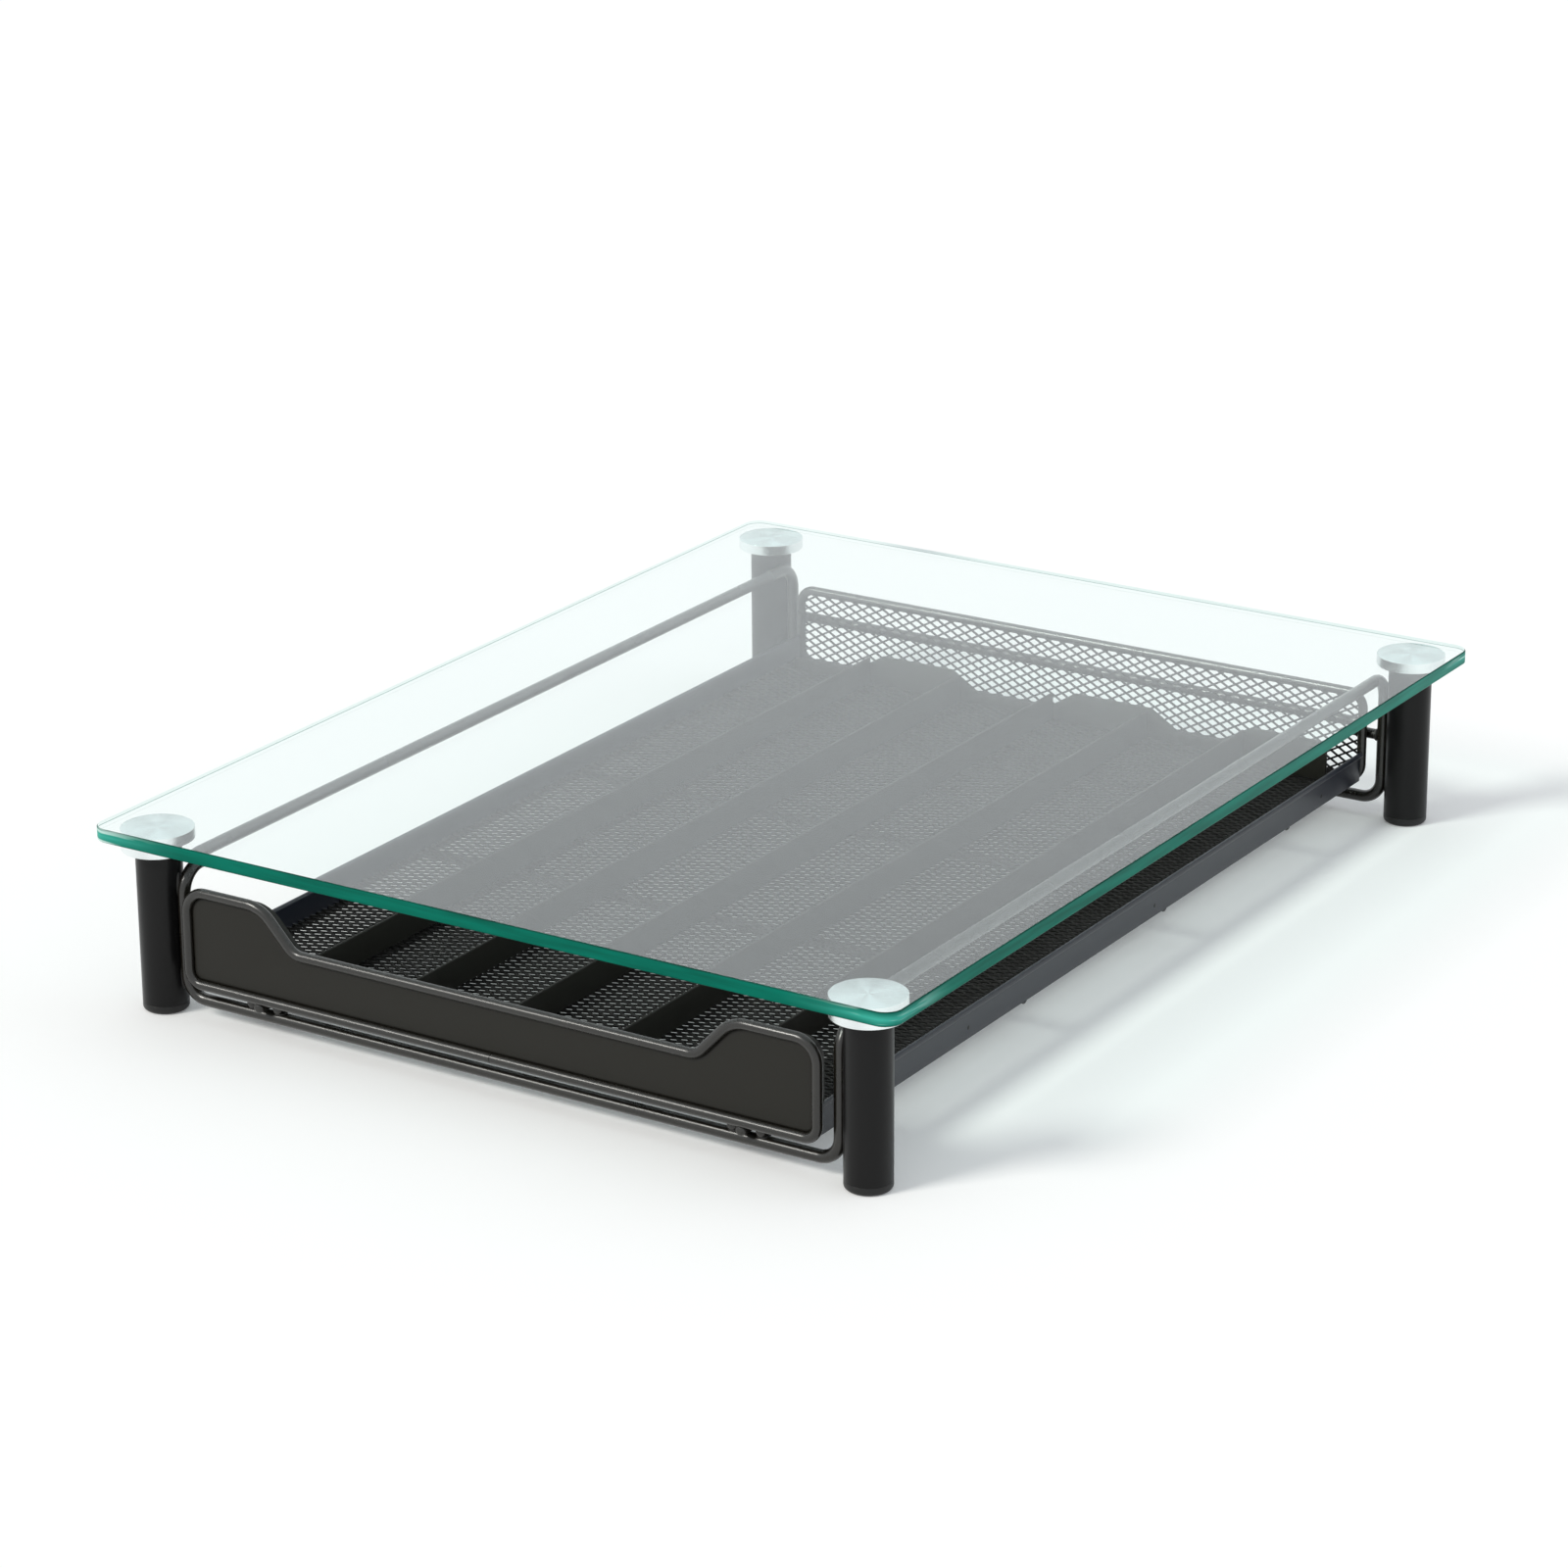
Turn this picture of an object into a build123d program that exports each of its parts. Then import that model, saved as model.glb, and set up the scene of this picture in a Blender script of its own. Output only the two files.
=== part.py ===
from build123d import *
import os

# Coffee pod drawer: a bent-wire stand under a glass shelf on four posts, with a wire-rimmed drawer
# that slides forward on two pairs of runner rods.
# Millimetres. X to the right seen from the front, front towards -Y, +Z up.
# The origin lies on the floor under the middle of the glass.

# Glass shelf
GLASS_WIDTH = 320.0
GLASS_DEPTH = 420.0
GLASS_THICK = 5.0
GLASS_CORNER = 6.5
GLASS_ARRIS = 0.5
GLASS_TOP = 68.0

# Posts, each with a mounting disc bonded under the glass and a glide pressed in below
POST_DIA = 16.2
POST_INSET_X = 17.7
POST_INSET_Y = 14.9
DISC_DIA = 25.6
DISC_THICK = 4.0
DISC_EDGE = 0.4
STUD_DIA = 6.0
STUD_IN_DISC = 2.6
STUD_IN_POST = 12.0
GLIDE_RIM = 3.0
GLIDE_EDGE = 1.2
PEG_DIA = 7.0
PEG_LENGTH = 6.0

# Stand wires
STAND_WIRE_DIA = 4.5
CROSS_WIRE_Z = 6.5
CROSS_BEND = 8.0
TOP_RAIL_Z = 52.8
TOP_RAIL_BEND = 9.0
WIRE_JOINT_Z = 30.0
MID_BAR_DIA = 4.0
MID_BAR_Z = 32.2

# Runner rods that the drawer slides on, in pairs
RUNNER_DIA = 3.8
RUNNER_INSET = 28.95
RUNNER_PITCH = 11.0
RUNNER_OVERHANG = 2.9
RUNNER_END_EDGE = 0.7

# Clearances
RUNNER_CLEAR = 0.3
STOP_CLEAR = 0.3
GUIDE_CLEAR = 0.4
SIDE_CLEAR = 1.3
RIM_CLEAR = 0.65
BUTT_GAP = 0.2

# Drawer
ROD_DIA = 3.6
REAR_BEND = 6.0
FOOT_BEND = 5.0
SHOULDER_BEND = 8.0
CREST_BEND = 13.0
DIP_BEND = 7.5
RIM_BOTTOM_Z = 12.6
RIM_SHOULDER_Z = 50.2
RIM_SCOOP_Z = 35.7
SHOULDER_WIDTH = 32.0
SCOOP_SLOPE = 13.65
SHEET = 1.0
PANEL_FORWARD = 0.5
PANEL_FLANGE = 6.5
REAR_RIM_TOP = 47.0
STRIP_BOTTOM = 14.4
STRIP_TOP = 26.0
STRIP_ROLL_DIA = 2.0

# Expanded mesh, with coarser openings than the real one and a plain border
MESH_THICK = 1.2
MESH_BORDER = 1.6
REAR_COLUMN_COUNT = 20
REAR_ROW_COUNT = 3
REAR_STRAND = 1.4
FLOOR_COLUMN_COUNT = 10
FLOOR_ROW_COUNT = 11
FLOOR_STRAND = 2.2

# Lanes
LANE_COUNT = 6
DIVIDER_TOP = 28.3
DIVIDER_EDGE = 0.4
DIVIDER_SETBACK = 7.5
STOP_PLATE_SETBACK = 16.0
STOP_PLATE_INSET = 6.3
STOP_PLATE_LOW = 22.0
STOP_PLATE_HIGH = 29.5
TAB_SLOPE = 12.0
TABS = ((-77.0, -45.0), (10.0, 43.5), (87.0, 117.0))

# Guide wires, travel and stops
GUIDE_DIA = 3.9
GUIDE_NOSE = 0.8
GUIDE_END_EDGE = 0.7
WELD_BITE = 0.2
TRAVEL = 320.0
HOOK_THICK = 2.0
HOOK_FOOT_THICK = 2.0
HOOK_FOOT_WIDTH = 13.0
CROSS_WIRE_YS = (-165.0, -65.0, 35.0)

# Derived sizes
post_x = GLASS_WIDTH / 2 - POST_INSET_X
post_y = GLASS_DEPTH / 2 - POST_INSET_Y
glass_bottom = GLASS_TOP - GLASS_THICK
post_top = glass_bottom - DISC_THICK
stand_wire_r = STAND_WIRE_DIA / 2
upright_x = post_x - POST_DIA / 2 - stand_wire_r
cross_wire_top = CROSS_WIRE_Z + stand_wire_r
runner_r = RUNNER_DIA / 2
runner_outer_x = upright_x - RUNNER_INSET
runner_inner_x = runner_outer_x - RUNNER_PITCH
runner_z = cross_wire_top + runner_r
runner_end = post_y + RUNNER_OVERHANG
underside = runner_z + runner_r + RUNNER_CLEAR
rod_r = ROD_DIA / 2
rim_x = upright_x - stand_wire_r - SIDE_CLEAR - rod_r
rim_inside_x = rim_x - rod_r
rim_back = -runner_end - RIM_CLEAR
rim_y = rim_back - rod_r
panel_face = rim_y - PANEL_FORWARD
flange_back = panel_face + PANEL_FLANGE
rear_rim_x = rim_inside_x + SHEET / 2
rear_rim_y = post_y - MID_BAR_DIA / 2 - STOP_CLEAR - rod_r
rear_rim_front = rear_rim_y - rod_r
rear_rim_bottom = underside + rod_r
rear_rim_top = REAR_RIM_TOP - rod_r
floor_bottom = underside + ROD_DIA
floor_top = floor_bottom + MESH_THICK
lane_pitch = 2 * rim_inside_x / LANE_COUNT
divider_front = flange_back + DIVIDER_SETBACK
stop_plate_y = rear_rim_y - STOP_PLATE_SETBACK
stop_plate_x = rim_inside_x - STOP_PLATE_INSET
divider_back = stop_plate_y - SHEET / 2
guide_r = GUIDE_DIA / 2
guide_x = runner_outer_x - RUNNER_PITCH / 2
guide_z = underside + WELD_BITE - guide_r
guide_front = rim_y - GUIDE_NOSE
hook_width = RUNNER_PITCH - RUNNER_DIA - 2 * GUIDE_CLEAR
hook_front = TRAVEL - post_y + stand_wire_r + STOP_CLEAR
hook_foot_bottom = runner_z - runner_r - RUNNER_CLEAR - HOOK_FOOT_THICK

SIDES = (("left", -1), ("right", 1))
ENDS = (("front", -1), ("rear", 1))

os.makedirs("parts", exist_ok=True)


def save(part, name):
    """Label a finished piece and write it to its own file."""
    part.label = name
    export_step(part, f"parts/{name}.step")


def bent_rod(points, radius, bend):
    """Round stock bent along straight runs joined by tangent arcs, of one radius or one for each bend."""
    with BuildPart() as rod:
        with BuildLine() as path:
            FilletPolyline(*points, radius=bend)
        with BuildSketch(path.line ^ 0):
            Circle(radius)
        sweep()
    return rod.part


def straight_rod(start, direction, length, radius, end_edge=0.0):
    """Round stock cut to length, with its ends eased where they show."""
    with BuildPart() as rod:
        with BuildSketch(Plane(origin=start, z_dir=direction)):
            Circle(radius)
        extrude(amount=length)
        if end_edge:
            chamfer(rod.edges().filter_by(GeomType.CIRCLE), end_edge)
    return rod.part


def mesh_openings(width, height, corner, across, high, strand):
    """Staggered diamond openings, cut off where they meet the mesh's plain border."""
    pitch_u = width / across
    pitch_v = height / high
    slant = (pitch_u**2 + pitch_v**2) ** 0.5
    half_u = pitch_u / 2 - strand * slant / pitch_v / 2
    half_v = pitch_v / 2 - strand * slant / pitch_u / 2
    centres = []
    for row in range(2 * high + 1):
        stagger = (row + 1) % 2 / 2
        count = across if row % 2 else across + 1
        v = row * pitch_v / 2 - height / 2
        centres += [((i + 0.5 - stagger) * pitch_u - width / 2, v) for i in range(count)]
    with BuildSketch() as openings:
        with Locations(*centres):
            Polygon((half_u, 0), (0, half_v), (-half_u, 0), (0, -half_v))
        RectangleRounded(width, height, corner, mode=Mode.INTERSECT)
    return openings.sketch


# ---------------------------------------------------------------- stand

with BuildPart() as glass_top:
    with BuildSketch(Plane.XY.offset(glass_bottom)):
        RectangleRounded(GLASS_WIDTH, GLASS_DEPTH, GLASS_CORNER)
    extrude(amount=GLASS_THICK)
    chamfer(glass_top.edges().group_by(Axis.Z)[0] + glass_top.edges().group_by(Axis.Z)[-1], GLASS_ARRIS)
save(glass_top.part, "glass_top")

stud_solids = []
for end, end_sign in ENDS:
    for side, side_sign in SIDES:
        x = side_sign * post_x
        y = end_sign * post_y
        corner = f"{end}_{side}"

        with BuildPart() as disc:
            with BuildSketch(Plane.XY.offset(post_top)):
                with Locations((x, y)):
                    Circle(DISC_DIA / 2)
            extrude(amount=DISC_THICK)
            chamfer(disc.edges().group_by(Axis.Z)[0], DISC_EDGE)
            with BuildSketch(Plane.XY.offset(post_top)):
                with Locations((x, y)):
                    Circle(STUD_DIA / 2)
            extrude(amount=STUD_IN_DISC, mode=Mode.SUBTRACT)
        save(disc.part, f"{corner}_disc")

        with BuildPart() as post:
            with BuildSketch(Plane.XY.offset(GLIDE_RIM)):
                with Locations((x, y)):
                    Circle(POST_DIA / 2)
            extrude(amount=post_top - GLIDE_RIM)
            with BuildSketch(Plane.XY.offset(post_top - STUD_IN_POST)):
                with Locations((x, y)):
                    Circle(STUD_DIA / 2)
            extrude(amount=STUD_IN_POST, mode=Mode.SUBTRACT)
            with BuildSketch(Plane.XY.offset(GLIDE_RIM)):
                with Locations((x, y)):
                    Circle(PEG_DIA / 2)
            extrude(amount=PEG_LENGTH, mode=Mode.SUBTRACT)
        save(post.part, f"{corner}_post")

        with BuildPart() as glide:
            with BuildSketch():
                with Locations((x, y)):
                    Circle(POST_DIA / 2)
            extrude(amount=GLIDE_RIM)
            chamfer(glide.edges().group_by(Axis.Z)[0], GLIDE_EDGE)
            with BuildSketch(Plane.XY.offset(GLIDE_RIM)):
                with Locations((x, y)):
                    Circle(PEG_DIA / 2)
            extrude(amount=PEG_LENGTH)
        save(glide.part, f"{corner}_glide")

        stud_foot = (x, y, post_top - STUD_IN_POST)
        stud_solids.append(straight_rod(stud_foot, (0, 0, 1), STUD_IN_POST + STUD_IN_DISC, STUD_DIA / 2))

save(Compound(children=stud_solids), "disc_studs")

for end, end_sign in ENDS:
    y = end_sign * post_y
    cross_wire = bent_rod(
        [
            (-upright_x, y, WIRE_JOINT_Z),
            (-upright_x, y, CROSS_WIRE_Z),
            (upright_x, y, CROSS_WIRE_Z),
            (upright_x, y, WIRE_JOINT_Z),
        ],
        stand_wire_r,
        CROSS_BEND,
    )
    save(cross_wire, f"{end}_cross_wire")

for side, side_sign in SIDES:
    x = side_sign * upright_x
    top_rail = bent_rod(
        [
            (x, -post_y, WIRE_JOINT_Z),
            (x, -post_y, TOP_RAIL_Z),
            (x, post_y, TOP_RAIL_Z),
            (x, post_y, WIRE_JOINT_Z),
        ],
        stand_wire_r,
        TOP_RAIL_BEND,
    )
    save(top_rail, f"{side}_top_rail")

mid_bar_reach = upright_x - stand_wire_r
mid_bar = straight_rod((-mid_bar_reach, post_y, MID_BAR_Z), (1, 0, 0), 2 * mid_bar_reach, MID_BAR_DIA / 2)
save(mid_bar, "rear_mid_bar")

for side, side_sign in SIDES:
    for place, runner_x in (("inner", runner_inner_x), ("outer", runner_outer_x)):
        runner_start = (side_sign * runner_x, -runner_end, runner_z)
        runner = straight_rod(runner_start, (0, 1, 0), 2 * runner_end, runner_r, RUNNER_END_EDGE)
        save(runner, f"{side}_{place}_runner")

# ---------------------------------------------------------------- drawer front

# Centre line of the front rim: square shoulders and a scooped middle that shows the front pods.
rim_low = RIM_BOTTOM_Z + rod_r
rim_shoulder = RIM_SHOULDER_Z - rod_r
rim_scoop = RIM_SCOOP_Z - rod_r
scoop_top_x = rim_x - SHOULDER_WIDTH
scoop_bottom_x = scoop_top_x - SCOOP_SLOPE
rim_corners = [
    (rim_x, rim_low),
    (rim_x, rim_shoulder),
    (scoop_top_x, rim_shoulder),
    (scoop_bottom_x, rim_scoop),
    (-scoop_bottom_x, rim_scoop),
    (-scoop_top_x, rim_shoulder),
    (-rim_x, rim_shoulder),
    (-rim_x, rim_low),
]
right_bends = [FOOT_BEND, SHOULDER_BEND, CREST_BEND, DIP_BEND]
rim_bends = right_bends + right_bends[::-1]
rim_path = [(BUTT_GAP / 2, rim_low)] + rim_corners + [(-BUTT_GAP / 2, rim_low)]
front_rim = bent_rod([(x, rim_y, z) for x, z in rim_path], rod_r, rim_bends)
save(front_rim, "front_rim")

# The sheet front fits inside the rim rod and its edge is turned back all round.
with BuildPart() as front_panel:
    with BuildSketch(Plane.XZ.offset(-flange_back)):
        with BuildLine():
            FilletPolyline(*rim_corners, radius=rim_bends, close=True)
        make_face()
        offset(amount=-rod_r, mode=Mode.REPLACE)
    extrude(amount=PANEL_FLANGE)
    chamfer(front_panel.edges().group_by(Axis.Y)[0], PANEL_FORWARD)
    with BuildSketch(Plane.XZ.offset(-flange_back)):
        with BuildLine():
            FilletPolyline(*rim_corners, radius=rim_bends, close=True)
        make_face()
        offset(amount=-rod_r - SHEET, mode=Mode.REPLACE)
    extrude(amount=PANEL_FLANGE - SHEET, mode=Mode.SUBTRACT)
save(front_panel.part, "front_panel")

# ---------------------------------------------------------------- drawer rear

rear_rim_path = [
    (BUTT_GAP / 2, rear_rim_y, rear_rim_bottom),
    (rear_rim_x, rear_rim_y, rear_rim_bottom),
    (rear_rim_x, rear_rim_y, rear_rim_top),
    (-rear_rim_x, rear_rim_y, rear_rim_top),
    (-rear_rim_x, rear_rim_y, rear_rim_bottom),
    (-BUTT_GAP / 2, rear_rim_y, rear_rim_bottom),
]
rear_rim = bent_rod(rear_rim_path, rod_r, REAR_BEND)
save(rear_rim, "rear_rim")

rear_mesh_width = 2 * (rear_rim_x - rod_r)
rear_mesh_height = rear_rim_top - rear_rim_bottom - ROD_DIA
rear_mesh_corner = REAR_BEND - rod_r
with BuildPart() as rear_mesh:
    with BuildSketch(Plane.XZ.offset(-rear_rim_y - MESH_THICK / 2)):
        with Locations((0, (rear_rim_top + rear_rim_bottom) / 2)):
            RectangleRounded(rear_mesh_width, rear_mesh_height, rear_mesh_corner)
            add(
                mesh_openings(
                    rear_mesh_width - 2 * MESH_BORDER,
                    rear_mesh_height - 2 * MESH_BORDER,
                    rear_mesh_corner - MESH_BORDER,
                    REAR_COLUMN_COUNT,
                    REAR_ROW_COUNT,
                    REAR_STRAND,
                ),
                mode=Mode.SUBTRACT,
            )
    extrude(amount=MESH_THICK)
save(rear_mesh.part, "rear_mesh")

# ---------------------------------------------------------------- drawer floor and sides

floor_width = 2 * rim_inside_x
floor_length = rear_rim_front - flange_back
with BuildPart() as floor_mesh:
    with BuildSketch(Plane.XY.offset(floor_bottom)):
        with Locations((0, (rear_rim_front + flange_back) / 2)):
            Rectangle(floor_width, floor_length)
            add(
                mesh_openings(
                    floor_width - 2 * MESH_BORDER,
                    floor_length - 2 * MESH_BORDER,
                    MESH_BORDER,
                    FLOOR_COLUMN_COUNT,
                    FLOOR_ROW_COUNT,
                    FLOOR_STRAND,
                ),
                mode=Mode.SUBTRACT,
            )
    extrude(amount=MESH_THICK)
save(floor_mesh.part, "floor_mesh")

# Side strips run from the turned-back edge of the front to the rear rim, each with a rolled top.
for side, side_sign in SIDES:
    roll_z = STRIP_TOP - STRIP_ROLL_DIA / 2
    with BuildPart() as strip:
        with BuildSketch(Plane.XZ.offset(-rear_rim_front)):
            with Locations((side_sign * (rim_inside_x + SHEET / 2), STRIP_BOTTOM)):
                Rectangle(SHEET, roll_z - STRIP_BOTTOM, align=(Align.CENTER, Align.MIN))
            with Locations((side_sign * (rim_inside_x + STRIP_ROLL_DIA / 2), roll_z)):
                Circle(STRIP_ROLL_DIA / 2)
        extrude(amount=rear_rim_front - rim_back)
    save(strip.part, f"{side}_side_strip")

# Cross wires under the floor bear on the runners; the last one carries the stop hooks.
wire_ys = CROSS_WIRE_YS + (hook_front + HOOK_THICK + rod_r,)
for number, y in enumerate(wire_ys, start=1):
    wire = straight_rod((-rim_inside_x, y, underside + rod_r), (1, 0, 0), 2 * rim_inside_x, rod_r)
    save(wire, f"floor_wire_{number}")

for number in range(1, LANE_COUNT):
    x = (number - LANE_COUNT / 2) * lane_pitch
    with BuildPart() as divider:
        with BuildSketch(Plane.XY.offset(floor_top)):
            with Locations((x, (divider_front + divider_back) / 2)):
                Rectangle(SHEET, divider_back - divider_front)
        extrude(amount=DIVIDER_TOP - floor_top)
        fillet(divider.edges().group_by(Axis.Z)[-1].filter_by(Axis.Y), DIVIDER_EDGE)
    save(divider.part, f"lane_divider_{number}")

# The plate behind the lanes rises in a tab behind every second lane.
plate_outline = [(-stop_plate_x, floor_top), (-stop_plate_x, STOP_PLATE_LOW)]
for left, right in TABS:
    plate_outline += [(left - TAB_SLOPE, STOP_PLATE_LOW), (left, STOP_PLATE_HIGH)]
    if right + TAB_SLOPE < stop_plate_x:
        plate_outline += [(right, STOP_PLATE_HIGH), (right + TAB_SLOPE, STOP_PLATE_LOW)]
plate_outline += [(stop_plate_x, STOP_PLATE_HIGH), (stop_plate_x, floor_top)]
with BuildPart() as rear_stop_plate:
    with BuildSketch(Plane.XZ.offset(-stop_plate_y - SHEET / 2)):
        Polygon(*plate_outline, align=None)
    extrude(amount=SHEET)
save(rear_stop_plate.part, "rear_stop_plate")

# ---------------------------------------------------------------- guides and stops

for side, side_sign in SIDES:
    x = side_sign * guide_x

    # A guide wire under the drawer runs between each pair of runners and ends under the front rim.
    guide_length = rear_rim_y - guide_front
    guide_wire = straight_rod((x, guide_front, guide_z), (0, 1, 0), guide_length, guide_r, GUIDE_END_EDGE)
    save(guide_wire, f"{side}_guide_wire")

    # A T-shaped hook, threaded on the guide wire, reaches under both runners and meets the front cross wire.
    with BuildPart() as stop_hook:
        with BuildSketch(Plane.XZ.offset(-hook_front - HOOK_THICK)):
            with Locations((x, hook_foot_bottom)):
                Rectangle(hook_width, floor_bottom - hook_foot_bottom, align=(Align.CENTER, Align.MIN))
                Rectangle(HOOK_FOOT_WIDTH, HOOK_FOOT_THICK, align=(Align.CENTER, Align.MIN))
            with Locations((x, guide_z)):
                Circle(guide_r, mode=Mode.SUBTRACT)
        extrude(amount=HOOK_THICK)
    save(stop_hook.part, f"{side}_stop_hook")
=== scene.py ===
"""Looks of a coffee pod drawer: a glass-topped wire stand with a sliding mesh drawer for capsules."""

import logging
import math
from dataclasses import dataclass, field
from enum import Enum
from typing import Iterable, Sequence

import bmesh
import bpy
from mathutils import Matrix, Vector


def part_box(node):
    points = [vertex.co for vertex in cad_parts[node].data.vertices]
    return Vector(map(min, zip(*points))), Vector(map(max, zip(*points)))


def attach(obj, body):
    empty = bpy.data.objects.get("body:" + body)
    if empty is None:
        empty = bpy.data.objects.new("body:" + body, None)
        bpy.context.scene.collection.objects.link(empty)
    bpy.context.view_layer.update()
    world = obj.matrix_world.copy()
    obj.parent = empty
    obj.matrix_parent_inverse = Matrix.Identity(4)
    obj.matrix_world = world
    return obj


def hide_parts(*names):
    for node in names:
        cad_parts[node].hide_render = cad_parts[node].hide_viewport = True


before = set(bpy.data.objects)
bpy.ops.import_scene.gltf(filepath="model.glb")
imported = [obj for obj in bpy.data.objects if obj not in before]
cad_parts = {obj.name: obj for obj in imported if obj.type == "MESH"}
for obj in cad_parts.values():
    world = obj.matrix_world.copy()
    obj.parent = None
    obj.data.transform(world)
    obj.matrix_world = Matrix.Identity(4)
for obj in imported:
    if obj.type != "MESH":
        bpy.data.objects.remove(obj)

MM = 0.001
TOUCHING = 1e-6
LOG = logging.getLogger("pod_drawer")

Point = tuple[float, float, float]
Colour = tuple[float, float, float]


class Body(Enum):
    """The two rigid bodies that pieces ride on."""

    STAND = "stand"
    DRAWER = "drawer"


class Way(Enum):
    """A way along one axis, with its sign."""

    @property
    def word(self) -> str:
        """Return the word for it in the nodes' names."""
        return self.name.lower()


class Side(Way):
    """Left and right as seen from the front, with the sign of X."""

    LEFT = -1
    RIGHT = 1


class End(Way):
    """Front and rear, with the sign of Y."""

    FRONT = -1
    REAR = 1


class Slot(Enum):
    """The record's material slots, passed along with the dressed pieces."""

    GLASS = "float_glass"
    DISC = "turned_aluminium"
    POST = "black_post"
    GLIDE = "black_glide"
    WIRE = "coated_wire"
    SHEET = "coated_sheet"
    MESH = "coated_mesh"


# ---------------------------------------------------------------------------
# Shader building
# ---------------------------------------------------------------------------


class Graph:
    """A short way to add and join nodes in one node tree."""

    def __init__(self, tree: bpy.types.NodeTree) -> None:
        """Hold the tree that nodes are added to."""
        self.tree = tree

    def node(
        self, kind: str, inputs: dict[str | int, object] | None = None, **settings: object
    ) -> bpy.types.Node:
        """Add a node, with its settings and what feeds its inputs.

        Args:
            kind: Blender's name of the node type.
            inputs: For each input, by name or number, a socket to link or a value to set.
            settings: Properties of the node itself.

        Returns:
            The new node.
        """
        node = self.tree.nodes.new(kind)
        for name, value in settings.items():
            setattr(node, name, value)
        self.feed(node, inputs or {})
        return node

    def feed(self, node: bpy.types.Node, inputs: dict[str | int, object]) -> None:
        """Link or set inputs of a node.

        Args:
            node: The node.
            inputs: For each input, by name or number, a socket to link or a value to set.
        """
        for key, value in inputs.items():
            if isinstance(value, bpy.types.NodeSocket):
                self.tree.links.new(value, node.inputs[key])
            else:
                node.inputs[key].default_value = value

    def math(self, operation: str, a: object, b: object = 0.0, clamp: bool = False) -> bpy.types.NodeSocket:
        """Return the result of one Math node."""
        return self.node("ShaderNodeMath", {0: a, 1: b}, operation=operation, use_clamp=clamp).outputs[0]

    def blend(self, factor: object, a: object, b: object) -> bpy.types.NodeSocket:
        """Return a colour mixed from a to b by the factor."""
        node = self.node("ShaderNodeMix", data_type="RGBA")
        self.feed(node, {0: factor, 6: a, 7: b})
        return node.outputs[2]

    def scale(self, colour: bpy.types.NodeSocket, factor: object) -> bpy.types.NodeSocket:
        """Return a colour made lighter or darker by the factor."""
        return self.node("ShaderNodeVectorMath", {0: colour, 3: factor}, operation="SCALE").outputs[0]

    def spread(
        self, value: object, low: float, high: float, start: float = 0.0, stop: float = 1.0
    ) -> bpy.types.NodeSocket:
        """Return a value carried over from between start and stop to between low and high."""
        return self.node("ShaderNodeMapRange", {0: value, 1: start, 2: stop, 3: low, 4: high}).outputs[0]

    def noise(self, place: bpy.types.NodeSocket, scale: float, detail: float) -> bpy.types.NodeSocket:
        """Return the grey value of a noise texture."""
        inputs = {"Vector": place, "Scale": scale, "Detail": detail}
        return self.node("ShaderNodeTexNoise", inputs).outputs["Fac"]


def new_group(
    name: str, inputs: Sequence[tuple[str, str, object]], outputs: Sequence[tuple[str, str]]
) -> tuple[bpy.types.NodeTree, Graph, bpy.types.Node, bpy.types.Node]:
    """Make an empty shader node group.

    Args:
        name: The group's name.
        inputs: Name, socket type and default of each input.
        outputs: Name and socket type of each output.

    Returns:
        The group, its graph, and its input and output nodes.
    """
    tree = bpy.data.node_groups.new(name, "ShaderNodeTree")
    for title, kind, value in inputs:
        socket = tree.interface.new_socket(title, in_out="INPUT", socket_type=kind)
        socket.default_value = value
    for title, kind in outputs:
        tree.interface.new_socket(title, in_out="OUTPUT", socket_type=kind)
    graph = Graph(tree)
    return tree, graph, graph.node("NodeGroupInput"), graph.node("NodeGroupOutput")


def build_coat_group() -> bpy.types.NodeTree:
    """Make the group for baked powder coat: fine orange peel, slow tone drift and dust on upward faces.

    Returns:
        The node group.
    """
    tree, g, given, out = new_group(
        "powder_coat_skin",
        [
            ("Colour", "NodeSocketColor", (0.05, 0.05, 0.05, 1.0)),
            ("Drift", "NodeSocketFloat", 0.2),
            ("Roughness", "NodeSocketFloat", 0.4),
            ("Peel", "NodeSocketFloat", 0.1),
            ("Dust", "NodeSocketFloat", 0.03),
        ],
        [("Colour", "NodeSocketColor"), ("Roughness", "NodeSocketFloat"), ("Normal", "NodeSocketVector")],
    )
    place = g.node("ShaderNodeTexCoord").outputs["Object"]
    slow = g.noise(place, 22.0, 3.0)
    peel = g.noise(place, 1100.0, 2.0)
    fleck = g.noise(place, 2600.0, 1.0)
    tone = g.math("ADD", 1.0, g.math("MULTIPLY", g.math("SUBTRACT", slow, 0.5), given.outputs["Drift"]))
    shaded = g.scale(given.outputs["Colour"], tone)
    up = g.node("ShaderNodeSeparateXYZ", {0: g.node("ShaderNodeNewGeometry").outputs["Normal"]}).outputs[2]
    settled = g.math("MULTIPLY", g.math("MAXIMUM", up, 0.0), g.math("GREATER_THAN", fleck, 0.62))
    dust = g.math("MULTIPLY", settled, given.outputs["Dust"])
    matt = g.math("ADD", given.outputs["Roughness"], g.math("MULTIPLY", g.math("SUBTRACT", slow, 0.5), 0.12))
    rough = g.math("ADD", matt, g.math("MULTIPLY", dust, 0.5), clamp=True)
    bump = g.node("ShaderNodeBump", {"Strength": given.outputs["Peel"], "Distance": 0.00012, "Height": peel})
    dusty = g.blend(dust, shaded, (0.42, 0.41, 0.39, 1.0))
    g.feed(out, {"Colour": dusty, "Roughness": rough, "Normal": bump.outputs[0]})
    return tree


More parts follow.
